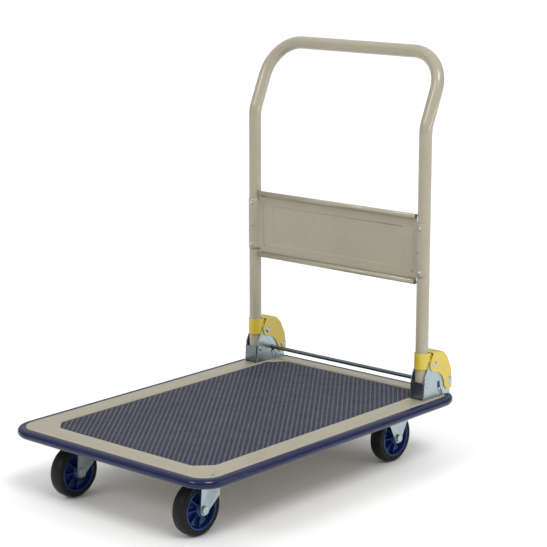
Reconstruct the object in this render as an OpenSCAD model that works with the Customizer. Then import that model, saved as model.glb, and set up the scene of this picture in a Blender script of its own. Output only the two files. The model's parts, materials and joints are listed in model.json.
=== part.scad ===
// Folding platform cart: pressed steel deck, bumper, hinged tube handle, foot lock and four casters.
// +X points to the handle end, +Y to the right of the person pushing, +Z up, the floor is Z = 0.

/* [Deck] */
// Length of the steel deck, without the bumper
deck_l = 717; // [600:1:900]
// Width of the steel deck, without the bumper
deck_w = 483; // [420:1:620]
// Corner radius of the deck in plan
deck_corner_r = 38; // [25:1:60]
// Thickness of the deck's steel
deck_sheet = 1.6; // [1.2:0.1:3]
// Height of the deck's folded skirt
skirt_h = 20; // [16:1:30]
// Steel left bare beside the mat at each side
border_side = 45; // [42:1:60]
// Steel left bare at the front
border_front = 44; // [35:1:60]
// Steel left bare at the handle end
border_rear = 33; // [25:1:60]
// Depth of the pocket that holds the mat
pocket_d = 4; // [2:0.5:6]
// Corner chamfer of the mat
mat_chamfer = 28; // [15:1:40]
// Distance from the mat's top down from the deck's top
mat_below = 0.4; // [0:0.1:1.5]
// Gap between the mat and its pocket
mat_gap = 0.4; // [0.1:0.1:2]

/* [Bumper] */
// How far the bumper stands out from the deck
bumper_out = 15; // [10:1:30]
// Radius of the bumper's round nose
bumper_r = 9; // [6:0.5:10]
// Drop from the deck's top to the bumper's top
bumper_drop = 0.8; // [0.2:0.1:3]

/* [Handle] */
// Overall height of the cart
cart_h = 819; // [750:1:1000]
// Outer diameter of the handle's tube
tube_d = 25.4; // [22:0.1:32]
// Wall of the handle's tube
tube_wall = 1.4; // [1:0.1:2.5]
// Distance from the deck's side edge to the tube's axis
tube_inset = 24; // [23:1:40]
// Distance from the deck's rear edge to the tube's axis
tube_from_rear = 74; // [70:1:110]
// Height above the deck of the corner where the handle bends back
bend_z = 533; // [420:1:600]
// Angle of the upper handle from upright
bend_a = 24; // [5:1:35]
// Centre-line radius of that bend
bend_r = 60; // [40:1:90]
// Centre-line radius of the top corners
corner_r = 75; // [45:1:100]
// Height of the tube's lower end above the deck
tube_foot = 34.2; // [33.9:0.1:34.8]

/* [Panel] */
// Height above the deck of the panel's lower edge
panel_z = 228; // [180:1:300]
// Overall height of the panel with its rolled hems
panel_h = 139; // [100:1:200]
// Thickness of the panel's sheet
panel_sheet = 1.2; // [0.8:0.1:2]
// Outer diameter of the rolled hems
hem_d = 10; // [8:0.5:14]
// Height of the part that wraps round the tube
wrap_h = 106; // [80:1:110]
// Half angle that the panel wraps outside the tube's front
wrap_out_a = 54; // [40:1:70]
// Half angle that it wraps inside the tube's front
wrap_in_a = 65; // [55:1:70]
// Depth of the pressed rectangle
emboss_d = 1.5; // [0.5:0.1:2.5]
// Distance between the two screws at each end
screw_pitch = 87; // [60:1:90]
// Radius of the panel screws
screw_r = 2; // [1.5:0.1:3]

/* [Hinge bracket] */
// Length of the cheeks behind the rear rivet's axis
cheek_tail = 6.7; // [5:0.1:9]
// Thickness of the cheeks
cheek_t = 2; // [1.5:0.1:3]
// Thickness of the hinge collar
collar_t = 2; // [1.5:0.1:2.5]
// Side play between the collar and each cheek
collar_play = 0.3; // [0.2:0.1:0.6]
// Height of the collar
collar_h = 32; // [26:1:40]
// Bottom of the collar above the deck
collar_z = 61; // [55:1:66]
// Gap between the tube and the fold pin
pin_gap = 1.3; // [0.8:0.1:3]
// Height of the fold pin above the deck
pin_z = 68; // [66:0.5:70]
// Radius of the fold pin
pin_r = 4; // [3:0.5:5]
// Distance from the fold pin back to the rear rivet
rivet_back = 47.5; // [45:0.5:52]
// Height of the rear rivet above the deck
rivet_z = 28.6; // [27:0.1:32]
// Radius of the rear rivet
rivet_r = 3.5; // [3:0.5:4.5]
// Height of the front stop above the deck
stop_top = 35.4; // [35.2:0.1:35.6]
// Thickness of the front stop
stop_t = 1.8; // [1.2:0.1:2.5]
// Thickness of the yellow guard
guard_t = 1.8; // [1.2:0.1:2.5]
// Gap between the guard and the cheeks
guard_gap = 0.2; // [0.1:0.1:0.5]

/* [Foot lock] */
// Radius of the lock rod
rod_r = 4; // [3:0.5:4.5]
// Distance from the rear rivet to the lock rod
rod_reach = 32; // [31:0.5:33]
// Angle between the lock rod and the guide pin, seen from the rear rivet
guide_a = 22; // [20:1:24]
// Radius of the guide pin
guide_r = 3; // [2:0.5:3.5]
// Turn of the lock while the handle folds fully
lock_travel = 18.9; // [18:0.1:20]
// Play between the rod and its slot
slot_play = 0.6; // [0.3:0.1:1]

/* [Casters] */
// Diameter of the wheels
wheel_d = 100; // [90:1:104]
// Width of the tyres
tyre_w = 29; // [24:1:32]
// Thickness of the tyre, from its crown to the rim
tyre_t = 11; // [8:1:16]
// Height of the tyre's crown
tyre_crown = 4; // [2:0.5:6]
// Distance between the caster centres along the cart
caster_base = 531; // [440:1:640]
// Distance from the deck's side edge to the wheels' middle plane
caster_inset = 84; // [80:1:120]
// Trail of the swivel casters
trail = 28.8; // [20:0.1:34]
// Gap between the swivel casters' wheels and their forks
wheel_gap = 9.5; // [5:0.5:20]
// Thickness of the caster plates
plate_t = 2.5; // [2:0.1:4]
// Length of the caster plates along the cart
plate_l = 96; // [90:1:120]
// Width of the caster plates
plate_w = 72; // [66:1:90]
// Spacing of the caster bolts along the cart
bolt_dx = 76; // [70:1:96]
// Gap between the caster nuts and the fork legs
nut_gap = 0.5; // [0.2:0.1:4]
// Radius of the caster bolts
bolt_r = 4; // [3:0.5:5]
// Radius of the wheel axles
axle_r = 5; // [4:0.5:6]
// Length of the wheel hubs
hub_l = 36; // [34:1:44]
// Number of ribs on each side of a rim
rib_count = 8; // [5:1:12]
// Number of balls in each swivel
ball_count = 16; // [10:1:18]

/* [Hidden] */
$fn = 64;
eps = 0.01;
run = 0.05;                        // radial clearance of the running fits
hole_play = 0.2;                   // radial clearance of the bolt holes
cream = [0.70, 0.68, 0.60];
zinc = [0.68, 0.72, 0.74];
yellow = [0.85, 0.72, 0.16];
navy = [0.06, 0.09, 0.30];
rubber = [0.07, 0.07, 0.07];

// heights, from the wheels up
crown_t = 2.5;
swivel_gap = 7.5;
cross_h = 7.4;
crown_z = wheel_d + wheel_gap;
plate_z = crown_z + crown_t + swivel_gap;
plate_top = plate_z + plate_t;
tray_z = plate_top + cross_h;
deck_top = tray_z + deck_sheet + pocket_d;

// deck
pocket_z = deck_top - pocket_d;
mat_l = deck_l - border_front - border_rear;
mat_w = deck_w - 2 * border_side;
mat_x = (border_front - border_rear) / 2;
skirt_z = deck_top - skirt_h;

// handle
tube_r = tube_d / 2;
tube_x = deck_l / 2 - tube_from_rear;
tube_y = deck_w / 2 - tube_inset;
foot_z = deck_top + tube_foot;
knee_z = deck_top + bend_z;
knee_cut = bend_r * tan(bend_a / 2);
bar_z = cart_h - tube_r;
slope_l = (bar_z - knee_z) / cos(bend_a);

// panel
hem_r = hem_d / 2;
hem_x = -(hem_r - panel_sheet / 2 + 0.2);
hem_half = tube_y - tube_r - 3;
panel_mid = deck_top + panel_z + panel_h / 2;
hem_dz = panel_h / 2 - hem_r;
wrap_r = tube_r + panel_sheet;
wrap_mean = tube_r + panel_sheet / 2;
fillet_r = wrap_mean * cos(wrap_in_a) / (1 - cos(wrap_in_a));
flat_start = (wrap_mean + fillet_r) * sin(wrap_in_a);
flat_half = tube_y - flat_start;
emboss_l = 2 * flat_half - 56;
emboss_h = panel_h - 56;
bead_r = 4;
bead_y = flat_half - 6;
screw_head_r = 3.8;
screw_head_h = 2.2;

// hinge bracket, in the frame of one hinge: X from the fold pin, Y across, Z above the deck
pin_back = tube_r + pin_gap + pin_r;
pin_x = tube_x + pin_back;
cheek_in = tube_r + collar_t + collar_play;
cheek_out = cheek_in + cheek_t;
stop_play = 0.3;
stop_x = -pin_back - tube_r - stop_play - stop_t;
guard_in = cheek_out + guard_gap;
guard_out = guard_in + guard_t;
cheek_l = rivet_back + cheek_tail - stop_x;
guard_roof_gap = 2;                // from the cheeks' rear edge to the roof
back_x = rivet_back + cheek_tail + guard_roof_gap + guard_t;
lobe_r = 13.5;
rivet_head_r = 6.5;
rivet_head_h = 2.6;
stop_rivet_x = -pin_back - 3;
stop_rivet_z = 30;
stop_rivet_r = 3;
stop_flange_l = 17;
stop_flange_t = 1.2;
base_screw_r = 3;
base_screw_x = [14, 34];

// foot lock
rod_rest_a = 182;
arm_t = 2;
arm_hub_r = rivet_r + 3;
arm_out = cheek_in - 0.2;
arm_in = arm_out - arm_t;
rod_half = tube_y + arm_out - 0.2;
slot_r = rod_r + slot_play;
slot_end_a = rod_rest_a + guide_a + lock_travel + 0.5;
spring_wire = 1.4;
spring_r = rivet_r + 1.6;
spring_turns = 5;

// casters
wheel_r = wheel_d / 2;
rim_r = wheel_r - tyre_t;
caster_x = caster_base / 2;
caster_y = deck_w / 2 - caster_inset;
cross_t = 2;
cross_w = plate_l + 16;
cross_l = 2 * caster_y + plate_w + 30;
leg_t = 2.5;
leg_in = hub_l / 2 + 0.5;
leg_out = leg_in + leg_t;
leg_foot_r = 10;
bolt_hex_r = bolt_r + 3;
bolt_dy = 2 * (leg_out + bolt_hex_r * cos(30) + nut_gap);
kingpin_r = 6;
race_r = 17;
race_t = 1.1;
race_band = 5.5;
ball_r = (swivel_gap - 2 * race_t) / 2 - 0.05;
bush_r = axle_r + 3;
hub_r = bush_r + 5;
rim_wall = 4;
rim_web = 6;
rib_t = 3;
axle_head_r = 7.5;
axle_head_h = 4;
stiffener_w = 40;
stiffener_h = 7;
stiffener_y = 90;

// ---------- outlines and helpers ----------

// Rectangle with round corners, centred
module round_rect(l, w, r) {
    square([l - 2 * r, w], center = true);
    square([l, w - 2 * r], center = true);
    for (sx = [-1, 1], sy = [-1, 1]) translate([sx * (l / 2 - r), sy * (w / 2 - r)]) circle(r);
}

// Rectangle with cut corners, centred
module cut_rect(l, w, c) {
    polygon([[-l / 2 + c, -w / 2], [l / 2 - c, -w / 2], [l / 2, -w / 2 + c], [l / 2, w / 2 - c],
        [l / 2 - c, w / 2], [-l / 2 + c, w / 2], [-l / 2, w / 2 - c], [-l / 2, -w / 2 + c]]);
}

// Flat slab of an outline between two heights
module slab(z0, z1) {
    translate([0, 0, z0]) linear_extrude(z1 - z0) children();
}

// Part of a ring from angle a0 to a1, less than half a turn
module ring_part(r_in, r_out, a0, a1) {
    far = 2 * r_out;
    intersection() {
        difference() {
            circle(r_out);
            circle(r_in);
        }
        polygon([[0, 0], far * [cos(a0), sin(a0)], far * [cos((a0 + a1) / 2), sin((a0 + a1) / 2)],
            far * [cos(a1), sin(a1)]]);
    }
}

// An XZ outline made into a plate that spans y0 to y1
module side_plate(y0, y1) {
    translate([0, y1, 0]) rotate([90, 0, 0]) linear_extrude(y1 - y0) children();
}

// A round bar along Y from y0 to y1
module cross_bar(r, y0, y1) {
    translate([0, y1, 0]) rotate([90, 0, 0]) cylinder(r = r, h = y1 - y0);
}

// Puts a child at the hinge of one side; side -1 is left, 1 is right
module at_hinge(side) {
    translate([pin_x, side * tube_y, deck_top]) children();
}

module both_hinges() {
    for (side = [-1, 1]) at_hinge(side) children();
}

// ---------- deck ----------

module mat_outline(grow = 0) {
    translate([mat_x, 0]) cut_rect(mat_l + 2 * grow, mat_w + 2 * grow, mat_chamfer + 0.6 * grow);
}

module caster_holes(r, z0, z1) {
    for (sx = [-1, 1], sy = [-1, 1], bx = [-1, 1], by = [-1, 1])
        translate([sx * caster_x + bx * bolt_dx / 2, sy * caster_y + by * bolt_dy / 2, z0])
            cylinder(r = r, h = z1 - z0);
}

module bracket_holes(r, z0, z1) {
    both_hinges() for (x = base_screw_x) translate([x, 0, z0]) cylinder(r = r, h = z1 - z0);
}

module deck_pan() {
    color(cream) difference() {
        slab(skirt_z, deck_top) round_rect(deck_l, deck_w, deck_corner_r);
        difference() {
            slab(skirt_z - 1, deck_top - deck_sheet)
                round_rect(deck_l - 2 * deck_sheet, deck_w - 2 * deck_sheet, deck_corner_r - deck_sheet);
            slab(tray_z, deck_top) mat_outline(mat_gap + deck_sheet);
        }
        slab(pocket_z, deck_top + 1) mat_outline(mat_gap);
        bracket_holes(base_screw_r + hole_play, -deck_sheet - 1, 1);
    }
}

module deck_mat() {
    color([0.30, 0.30, 0.38]) slab(pocket_z, deck_top - mat_below) mat_outline();
}

// Cross-section of the bumper: X is outwards from the deck's edge, Y is up from its top
module bumper_section() {
    nose_x = bumper_out - bumper_r;
    nose_y = -bumper_drop - bumper_r;
    difference() {
        union() {
            translate([nose_x, nose_y]) circle(bumper_r);
            translate([-bumper_r, nose_y - bumper_r]) square([nose_x + bumper_r, 2 * bumper_r]);
        }
        translate([-2 * bumper_r, nose_y - 2 * bumper_r]) square([2 * bumper_r, 4 * bumper_r]);
    }
}

module bumper() {
    straight_x = deck_l - 2 * deck_corner_r;
    straight_y = deck_w - 2 * deck_corner_r;
    color(navy) translate([0, 0, deck_top]) {
        for (side = [0, 180]) rotate(side) {
            translate([-straight_x / 2, deck_w / 2, 0]) rotate([90, 0, 90])
                linear_extrude(straight_x) bumper_section();
            translate([deck_l / 2, straight_y / 2, 0]) rotate([90, 0, 0])
                linear_extrude(straight_y) bumper_section();
            for (sy = [0, 1]) mirror([0, sy, 0])
                translate([straight_x / 2, straight_y / 2, 0]) rotate_extrude(angle = 90)
                    translate([deck_corner_r, 0]) bumper_section();
        }
    }
}

// Hat-shaped member under the tray, open upwards
module crossmember(x) {
    color(cream) difference() {
        translate([x, 0, 0]) difference() {
            slab(plate_top, tray_z) square([cross_w, cross_l], center = true);
            slab(plate_top + cross_t, tray_z + 1)
                square([cross_w - 2 * cross_t, cross_l - 2 * cross_t], center = true);
        }
        caster_holes(bolt_r + hole_play, plate_top - 1, tray_z);
    }
}

module front_crossmember() { crossmember(-caster_x); }
module rear_crossmember() { crossmember(caster_x); }

// Two lengthwise hats between the crossmembers
module deck_stiffeners() {
    stiffener_l = caster_base - cross_w - 2;
    color(cream) for (sy = [-1, 1]) translate([0, sy * stiffener_y, 0]) difference() {
        slab(tray_z - stiffener_h, tray_z) square([stiffener_l, stiffener_w], center = true);
        slab(tray_z - stiffener_h + deck_sheet, tray_z + 1)
            square([stiffener_l + 1, stiffener_w - 2 * deck_sheet], center = true);
    }
}

// ---------- hinge brackets ----------

// Side view of a cheek
module cheek_outline() {
    x0 = stop_x;
    top_r = 15;
    union() {
        polygon([[x0, 0], [x0 + cheek_l, 0], [x0 + cheek_l, 36], [14, pin_z + 8], [0, pin_z],
            [-13, pin_z + 6], [x0 + 4, 45]]);
        translate([0, pin_z]) circle(top_r);
    }
}

// Path of the rod and the guide pin round the rear rivet, a little wider at its ends
module slot_outline() {
    half = slot_r - 0.15;
    translate([rivet_back, rivet_z]) {
        ring_part(rod_reach - half, rod_reach + half, rod_rest_a, slot_end_a);
        for (a = [rod_rest_a, slot_end_a]) rotate(a) translate([rod_reach, 0]) circle(slot_r);
    }
}

module bracket(side) {
    base_gap = 2;
    color(zinc) at_hinge(side) difference() {
        union() {
            for (m = [0, 1]) mirror([0, m, 0]) side_plate(cheek_in, cheek_out) cheek_outline();
            translate([-pin_back, -cheek_in - eps, 0])
                cube([cheek_l + stop_x + pin_back, 2 * cheek_in + 2 * eps, cheek_t]);
        }
        side_plate(-cheek_out - 1, cheek_out + 1) slot_outline();
        translate([0, 0, pin_z]) cross_bar(pin_r + run, -cheek_out - 1, cheek_out + 1);
        translate([rivet_back, 0, rivet_z]) cross_bar(rivet_r + run, -cheek_out - 1, cheek_out + 1);
        translate([stop_rivet_x, 0, stop_rivet_z])
            cross_bar(stop_rivet_r + run, -cheek_out - 1, cheek_out + 1);
        for (x = base_screw_x) translate([x, 0, -1]) cylinder(r = base_screw_r + hole_play, h = base_gap + 2);
    }
}

module left_bracket() { bracket(-1); }
module right_bracket() { bracket(1); }

// Folded plate between the cheeks that the tube leans on
module front_stop(side) {
    half = cheek_in - 0.1;
    z0 = 3;
    color(zinc) at_hinge(side) difference() {
        union() {
            translate([stop_x, -half, z0]) cube([stop_t, 2 * half, stop_top - z0]);
            for (m = [0, 1]) mirror([0, m, 0]) translate([stop_x, half - stop_flange_t, z0 + 18])
                cube([stop_flange_l, stop_flange_t, stop_top - z0 - 18 - 0.4]);
        }
        translate([stop_rivet_x, 0, stop_rivet_z])
            cross_bar(stop_rivet_r + run, -cheek_out, cheek_out);
    }
}

module left_front_stop() { front_stop(-1); }
module right_front_stop() { front_stop(1); }

// Side view of the guard's wings
module guard_outline() {
    difference() {
        union() {
            translate([0, pin_z]) circle(lobe_r);
            polygon([[-11, pin_z + 7.8], [-3, pin_z + 24], [28, pin_z + 22], [42, pin_z + 8],
                [back_x - 3, 50], [back_x, 24], [back_x - 1.5, 11], [back_x - 18, 11], [0, pin_z - 13]]);
        }
        translate([-6, 15]) circle(40);
    }
}

// The strip of the wing outline that the roof follows
module guard_roof_outline() {
    difference() {
        polygon([[-3, pin_z + 24], [28, pin_z + 22], [42, pin_z + 8], [back_x - 3, 50], [back_x, 24],
            [back_x - 12, 24], [30, pin_z], [0, pin_z + 18]]);
        translate([-guard_t, -guard_t]) polygon([[-9, pin_z + 24], [28, pin_z + 22], [42, pin_z + 8],
            [back_x - 3, 50], [back_x, 23], [back_x - 40, 20], [-9, pin_z]]);
    }
}

module guard(side) {
    color(yellow) at_hinge(side) difference() {
        union() {
            for (m = [0, 1]) mirror([0, m, 0]) side_plate(guard_in, guard_out) guard_outline();
            side_plate(-guard_in - eps, guard_in + eps) guard_roof_outline();
        }
        translate([-pin_back, 0, pin_z]) cylinder(r = tube_r + collar_t + 1, h = 40);
        translate([0, 0, pin_z]) cross_bar(pin_r + run, -guard_out - 1, guard_out + 1);
        translate([rivet_back, 0, rivet_z]) cross_bar(rivet_r + run, -guard_out - 1, guard_out + 1);
    }
}

module left_guard() { guard(-1); }
module right_guard() { guard(1); }

// A rivet across the bracket, with a head at each end
module long_rivet(r) {
    color(zinc) {
        cross_bar(r, -guard_out - eps, guard_out + eps);
        for (m = [0, 1]) mirror([0, m, 0]) translate([0, guard_out, 0]) rotate([-90, 0, 0])
            rivet_head(rivet_head_r, rivet_head_h);
    }
}

// Low dome
module rivet_head(r, h) {
    ball = (r * r + h * h) / (2 * h);
    intersection() {
        translate([0, 0, h - ball]) sphere(ball);
        cylinder(r = r + 1, h = h + 1);
    }
}

module fold_pins() { both_hinges() translate([0, 0, pin_z]) long_rivet(pin_r); }
module rear_rivets() { both_hinges() translate([rivet_back, 0, rivet_z]) long_rivet(rivet_r); }

module stop_rivets() {
    color(zinc) both_hinges() for (m = [0, 1]) mirror([0, m, 0])
        translate([stop_rivet_x, 0, stop_rivet_z]) {
            cross_bar(stop_rivet_r, cheek_in - stop_flange_t - 0.1, cheek_out + eps);
            translate([0, cheek_out, 0]) rotate([-90, 0, 0]) rivet_head(5, 2);
        }
}

module bracket_screws() {
    color(zinc) both_hinges() for (x = base_screw_x) translate([x, 0, 0]) {
        translate([0, 0, cheek_t]) rivet_head(5.5, 3);
        translate([0, 0, -deck_sheet - 6]) cylinder(r = base_screw_r, h = cheek_t + deck_sheet + 6.5);
        translate([0, 0, -deck_sheet - 5]) cylinder(r = 6, h = 5, $fn = 6);
    }
}

// ---------- handle ----------

// Bent tube or, with a smaller radius, the space inside it. A ball a hair larger joins bend and slope.
module tube_path(r) {
    $fn = 48;
    ball_r = r + 0.15;
    bend_gap = 0.4;
    bend_turn = bend_a - bend_gap / bend_r * 180 / PI;
    leg_l = knee_z - knee_cut - foot_z;
    slope_in = slope_l - knee_cut - corner_r;
    for (side = [0, 1]) mirror([0, side, 0]) translate([tube_x, tube_y, foot_z]) {
        cylinder(r = r, h = leg_l);
        translate([bend_r, 0, leg_l]) mirror([1, 0, 0]) rotate([90, 0, 0])
            rotate_extrude(angle = bend_turn) translate([bend_r, 0]) circle(r);
        translate([0, 0, knee_z - foot_z]) rotate([0, bend_a, 0]) translate([0, 0, knee_cut]) {
            sphere(ball_r);
            cylinder(r = r, h = slope_in);
            translate([0, -corner_r, slope_in]) {
                rotate([90, 0, 90]) rotate_extrude(angle = 90) translate([corner_r, 0]) circle(r);
                translate([0, 0, corner_r]) cross_bar(r, corner_r - tube_y - 1, 0);
            }
        }
    }
}

module screw_places() {
    for (sy = [-1, 1], sz = [-1, 1])
        translate([tube_x, sy * tube_y, panel_mid + sz * screw_pitch / 2]) rotate([0, -90, 0]) children();
}

module handle_tube() {
    color(cream) difference() {
        tube_path(tube_r);
        tube_path(tube_r - tube_wall);
        screw_places() cylinder(r = screw_r + run, h = tube_r + 1);
        for (sy = [-1, 1]) translate([tube_x, sy * tube_y, foot_z - 1]) cylinder(r = tube_r - tube_wall, h = 2);
    }
}

// Plan view of the panel at one end: wrap, fillet and a lap of the flat; Y runs inwards
module panel_end_plan() {
    ring_part(tube_r + run, wrap_r, 180 - wrap_in_a, 180 + wrap_out_a);
    translate([-(wrap_mean + fillet_r) * cos(wrap_in_a), (wrap_mean + fillet_r) * sin(wrap_in_a)])
        ring_part(fillet_r - panel_sheet / 2, fillet_r + panel_sheet / 2, -wrap_in_a, 0);
}

module handle_panel() {
    color(cream) difference() {
        translate([tube_x, 0, panel_mid]) {
            for (m = [0, 1]) mirror([0, m, 0]) translate([0, -tube_y, 0])
                slab(-wrap_h / 2, wrap_h / 2) panel_end_plan();
            difference() {
                union() {
                    translate([-panel_sheet / 2, -flat_half, -wrap_h / 2])
                        cube([panel_sheet, 2 * flat_half, wrap_h]);
                    translate([-panel_sheet / 2, -hem_half, -hem_dz])
                        cube([panel_sheet, 2 * hem_half, 2 * hem_dz]);
                    for (sz = [-1, 1]) translate([hem_x, 0, sz * hem_dz]) cross_bar(hem_r, -hem_half, hem_half);
                    rotate([0, 90, 0]) translate([0, 0, -panel_sheet / 2])
                        linear_extrude(panel_sheet + emboss_d)
                        round_rect(emboss_h + 2 * panel_sheet, emboss_l + 2 * panel_sheet, 12 + panel_sheet);
                    for (sy = [-1, 1]) intersection() {
                        translate([2, sy * bead_y, -wrap_h / 2 + 6]) cylinder(r = bead_r, h = wrap_h - 12);
                        translate([-bead_r, sy * bead_y - bead_r, -wrap_h / 2])
                            cube([bead_r, 2 * bead_r, wrap_h]);
                    }
                }
                for (sz = [-1, 1]) translate([hem_x, 0, sz * hem_dz])
                    cross_bar(hem_r - panel_sheet, -hem_half - 1, hem_half + 1);
                rotate([0, 90, 0]) translate([0, 0, -panel_sheet]) linear_extrude(panel_sheet / 2 + emboss_d)
                    round_rect(emboss_h, emboss_l, 12);
            }
        }
        screw_places() cylinder(r = screw_r + run, h = wrap_r + 1);
    }
}

module panel_screws() {
    shank = 7;
    color(zinc) screw_places() translate([0, 0, wrap_r - shank]) {
        cylinder(r = screw_r, h = shank + eps);
        translate([0, 0, shank]) rivet_head(screw_head_r, screw_head_h);
    }
}

// Strap round the tube's front with two ears that reach back to the fold pin
module collar(side) {
    ear_r = 9;
    z1 = collar_z + collar_h;
    color(yellow) at_hinge(side) difference() {
        union() {
            translate([-pin_back, 0, collar_z]) difference() {
                cylinder(r = tube_r + collar_t, h = collar_h);
                translate([0, -tube_d, -1]) cube([2 * tube_d, 2 * tube_d, collar_h + 2]);
            }
            for (m = [0, 1]) mirror([0, m, 0]) side_plate(tube_r, tube_r + collar_t) {
                polygon([[-pin_back, collar_z], [-pin_back, z1], [-8, z1], [6, pin_z + 6],
                    [6, pin_z - 6]]);
                translate([0, pin_z]) circle(ear_r);
            }
        }
        translate([-pin_back, 0, collar_z - 1]) cylinder(r = tube_r, h = collar_h + 2);
        translate([0, 0, pin_z]) cross_bar(pin_r + run, -cheek_out, cheek_out);
    }
}

module left_collar() { collar(-1); }
module right_collar() { collar(1); }

// ---------- foot lock ----------

module at_lock(a) {
    translate([rivet_back, 0, rivet_z]) rotate([0, -a, 0]) translate([rod_reach, 0, 0]) children();
}

module lock_rod() {
    color([0.35, 0.38, 0.40]) translate([pin_x, 0, deck_top]) at_lock(rod_rest_a)
        cross_bar(rod_r, -rod_half, rod_half);
}

module lock_arm_outline() {
    difference() {
        union() {
            circle(arm_hub_r);
            rotate(rod_rest_a) translate([0, -5]) square([rod_reach, 10]);
            rotate(rod_rest_a) translate([rod_reach, 0]) circle(rod_r + 2);
            rotate(rod_rest_a + guide_a) translate([0, -5]) square([rod_reach, 10]);
            rotate(rod_rest_a + guide_a) translate([rod_reach, 0]) circle(guide_r + 1.5);
        }
        circle(rivet_r + run);
        rotate(rod_rest_a) translate([rod_reach, 0]) circle(rod_r);
        rotate(rod_rest_a + guide_a) translate([rod_reach, 0]) circle(guide_r);
    }
}

module lock_arms(side) {
    color([0.45, 0.48, 0.50]) at_hinge(side) for (m = [0, 1]) mirror([0, m, 0])
        side_plate(arm_in, arm_out) translate([rivet_back, rivet_z]) lock_arm_outline();
}

module left_lock_arms() { lock_arms(-1); }
module right_lock_arms() { lock_arms(1); }

module lock_guide_pins() {
    color(zinc) both_hinges() for (m = [0, 1]) mirror([0, m, 0]) at_lock(rod_rest_a + guide_a)
        cross_bar(guide_r, arm_in - 1, cheek_out + 0.8);
}

module lock_springs() {
    color(zinc) both_hinges() translate([rivet_back, 0, rivet_z]) {
        for (i = [0 : spring_turns - 1])
            translate([0, (i - (spring_turns - 1) / 2) * spring_wire * 1.15, 0]) rotate([90, 0, 0])
                rotate_extrude() translate([spring_r, 0]) circle(spring_wire / 2, $fn = 24);
    }
}

// ---------- casters ----------

module caster_plate(x, y) {
    color(zinc) difference() {
        translate([x, y, 0]) {
            slab(plate_z, plate_top) round_rect(plate_l, plate_w, 8);
            slab(plate_z - race_t, plate_z + eps) difference() {
                circle(race_r + race_band);
                circle(race_r - race_band);
            }
            slab(plate_z - swivel_gap + 1.5, plate_z + eps) difference() {
                circle(race_r + race_band + 2);
                circle(race_r + race_band);
            }
        }
        translate([x, y, plate_z - 1]) cylinder(r = kingpin_r, h = plate_t + 2);
        caster_holes(bolt_r + hole_play, plate_z - 1, plate_top + 1);
    }
}

module front_left_plate() { caster_plate(-caster_x, -caster_y); }
module front_right_plate() { caster_plate(-caster_x, caster_y); }

module kingpin(sy) {
    head_h = 3.5;
    color(zinc) translate([-caster_x, sy * caster_y, 0]) {
        translate([0, 0, crown_z - head_h]) cylinder(r = kingpin_r + 4, h = head_h - 0.1);
        translate([0, 0, crown_z - head_h]) cylinder(r = kingpin_r, h = plate_top - crown_z + head_h);
    }
}

module front_left_kingpin() { kingpin(-1); }
module front_right_kingpin() { kingpin(1); }

module balls(sy) {
    color([0.8, 0.8, 0.82]) translate([-caster_x, sy * caster_y, plate_z - swivel_gap / 2])
        for (i = [0 : ball_count - 1]) rotate(i * 360 / ball_count) translate([race_r, 0, 0]) sphere(ball_r);
}

module front_left_balls() { balls(-1); }
module front_right_balls() { balls(1); }

// Side view of the swivel fork's legs, with the axle at the origin
module swivel_leg_outline() {
    top = crown_z + crown_t - wheel_r;
    difference() {
        union() {
            circle(leg_foot_r);
            polygon([[-leg_foot_r, 0], [0, -leg_foot_r], [8.2, -5.7], [trail + 11, 20], [trail + 11, top],
                [-5, top]]);
        }
        circle(axle_r + run);
    }
}

module swivel_fork(sy) {
    color(zinc) translate([-caster_x, sy * caster_y, 0]) difference() {
        union() {
            for (m = [0, 1]) mirror([0, m, 0]) translate([-trail, 0, wheel_r])
                side_plate(leg_in, leg_out) swivel_leg_outline();
            slab(crown_z, crown_z + crown_t) {
                circle(race_r + race_band + 1);
                translate([-trail - 5, -leg_out]) square([16 + trail, 2 * leg_out]);
            }
            slab(crown_z + crown_t - eps, crown_z + crown_t + race_t) difference() {
                circle(race_r + race_band - 0.5);
                circle(race_r - race_band);
            }
        }
        translate([0, 0, crown_z - 1]) cylinder(r = kingpin_r + run, h = crown_t + 3);
    }
}

module front_left_fork() { swivel_fork(-1); }
module front_right_fork() { swivel_fork(1); }

// Side view of the fixed fork's legs, with the axle at the origin
module fixed_leg_outline() {
    top = plate_top - wheel_r;
    difference() {
        union() {
            circle(leg_foot_r);
            polygon([[-8.6, -5], [8.6, -5], [38, top - 22], [40, top], [-40, top], [-38, top - 22]]);
        }
        circle(axle_r + run);
    }
}

module fixed_fork(sy) {
    color(zinc) difference() {
        translate([caster_x, sy * caster_y, 0]) {
            for (m = [0, 1]) mirror([0, m, 0]) translate([0, 0, wheel_r])
                side_plate(leg_in, leg_out) fixed_leg_outline();
            slab(plate_z, plate_top) round_rect(plate_l, plate_w, 8);
        }
        caster_holes(bolt_r + hole_play, plate_z - 1, plate_top + 1);
    }
}

module rear_left_fork() { fixed_fork(-1); }
module rear_right_fork() { fixed_fork(1); }

// Puts a wheel piece, made round Z, on its axle; end -1 is the front
module on_axle(end, sy) {
    axle_x = end < 0 ? -caster_x - trail : caster_x;
    translate([axle_x, sy * caster_y, wheel_r]) rotate([-90 * sy, 0, 0]) children();
}

module tyre(end, sy) {
    crown_r = (tyre_w * tyre_w / 4 + tyre_crown * tyre_crown) / (2 * tyre_crown);
    color(rubber) on_axle(end, sy) rotate_extrude() intersection() {
        translate([rim_r, -tyre_w / 2]) square([wheel_r, tyre_w]);
        translate([wheel_r - crown_r, 0]) circle(crown_r);
    }
}

module front_left_tyre() { tyre(-1, -1); }
module front_right_tyre() { tyre(-1, 1); }
module rear_left_tyre() { tyre(1, -1); }
module rear_right_tyre() { tyre(1, 1); }

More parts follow.
